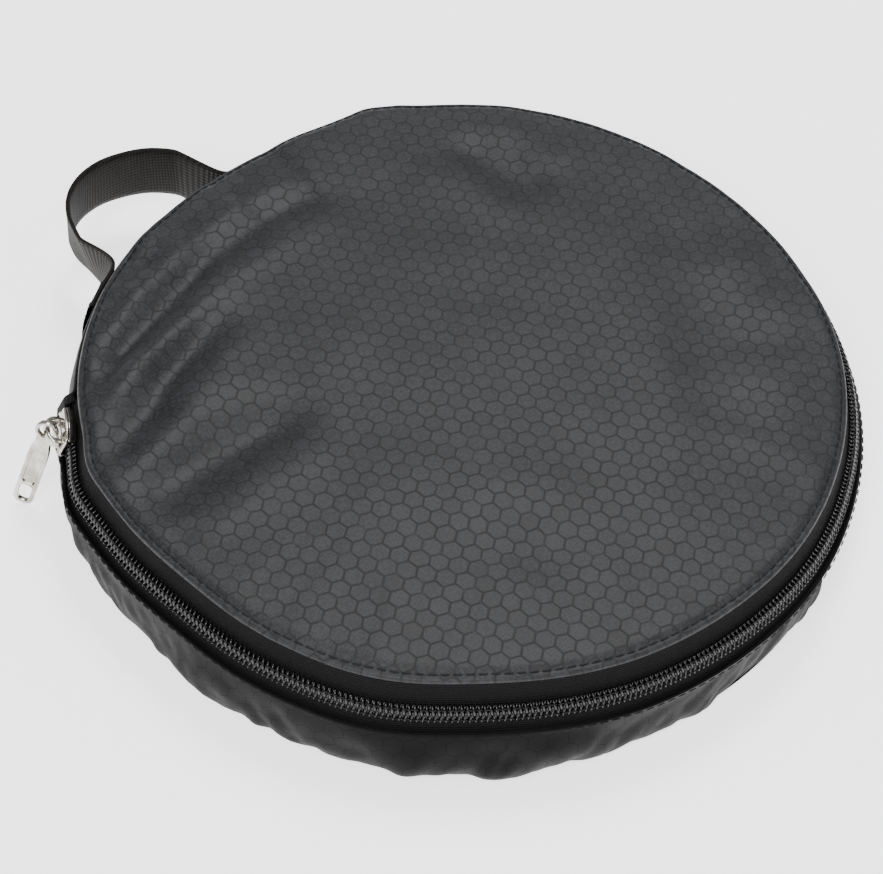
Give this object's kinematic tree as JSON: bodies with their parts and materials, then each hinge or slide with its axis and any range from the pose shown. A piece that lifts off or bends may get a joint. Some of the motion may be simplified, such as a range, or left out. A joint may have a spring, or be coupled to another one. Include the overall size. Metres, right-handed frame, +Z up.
{
  "type": "collapsible reflector disc in case",
  "caption": "Folded spring-hoop light reflector stowed in its round soft case, shut by a side-wall zip, with a carrying loop at the back.",
  "frame": {"origin": "on the case's round axis, at the face it rests on", "axes": "+Z up out of the lid, -Y towards the front opening, +Y towards the hinge panel and carrying loop"},
  "size_m": [0.24, 0.2618, 0.0405],
  "materials": {
    "shell_fabric": "matt hex-pattern ripstop nylon, dark blue-grey",
    "wall_fabric": "matt black hex-pattern nylon",
    "lining": "plain black lining cloth",
    "binding": "black bias tape",
    "tape": "woven black zip tape",
    "coil": "glossy black nylon coil",
    "nickel": "bright nickel-plated die-casting",
    "webbing": "ribbed black webbing",
    "spring_steel": "blued spring steel band",
    "sleeve": "black edge sleeve",
    "reflector": "silver-coated reflector cloth, white on the back"
  },
  "bodies": {
    "case": {"base_panel": "wall_fabric", "base_lining": "lining", "base_binding": "binding", "gusset_band": "wall_fabric", "hinge_panel": "wall_fabric", "wall_lining": "lining", "lid_rear_panel": "shell_fabric", "lid_rear_lining": "lining", "lid_rear_binding": "binding", "zip_tape_lower": "tape", "zip_coil_lower": "coil", "zip_tape_rear_left": "tape", "zip_coil_rear_left": "coil", "zip_tape_rear_right": "tape", "zip_coil_rear_right": "coil", "zip_end_tab_left": "tape", "zip_end_tab_right": "tape", "loop_end_left": "webbing", "loop_end_right": "webbing"},
    "lid": {"lid_panel": "shell_fabric", "lid_lining": "lining", "lid_binding": "binding", "zip_tape_upper": "tape", "zip_coil_upper": "coil"},
    "slider": {"slider_body": "nickel", "slider_crown": "nickel"},
    "puller": {"puller": "nickel"},
    "loop": {"carry_loop": "webbing"},
    "reflector": {"hoop_band": "spring_steel", "hoop_sleeve": "sleeve", "hoop_join": "sleeve", "reflector_fabric": "reflector"}
  },
  "joints": [
    {"name": "lid_hinge", "type": "hinge", "parent": "case", "child": "lid", "pos_m": [0, 0.07, 0.0405], "axis": [-1, 0, 0], "range_deg": [0, 110]},
    {"name": "slider_travel", "type": "hinge", "parent": "case", "child": "slider", "pos_m": [0, 0, 0.027], "axis": [0, 0, 1], "range_deg": [0, 273]},
    {"name": "puller_swing", "type": "hinge", "parent": "slider", "child": "puller", "pos_m": [-0.08253, 0.08696, 0.03021], "axis": [0.9341, 0.3323, -0.1306], "range_deg": [0, 150]},
    {"name": "loop_swing", "type": "hinge", "parent": "case", "child": "loop", "pos_m": [0, 0.11563, 0.023], "axis": [1, 0, 0], "range_deg": [-15, 60]},
    {"name": "reflector_turn", "type": "hinge", "parent": "case", "child": "reflector", "pos_m": [0, 0, 0.017], "axis": [0, 0, 1], "continuous": true}
  ]
}
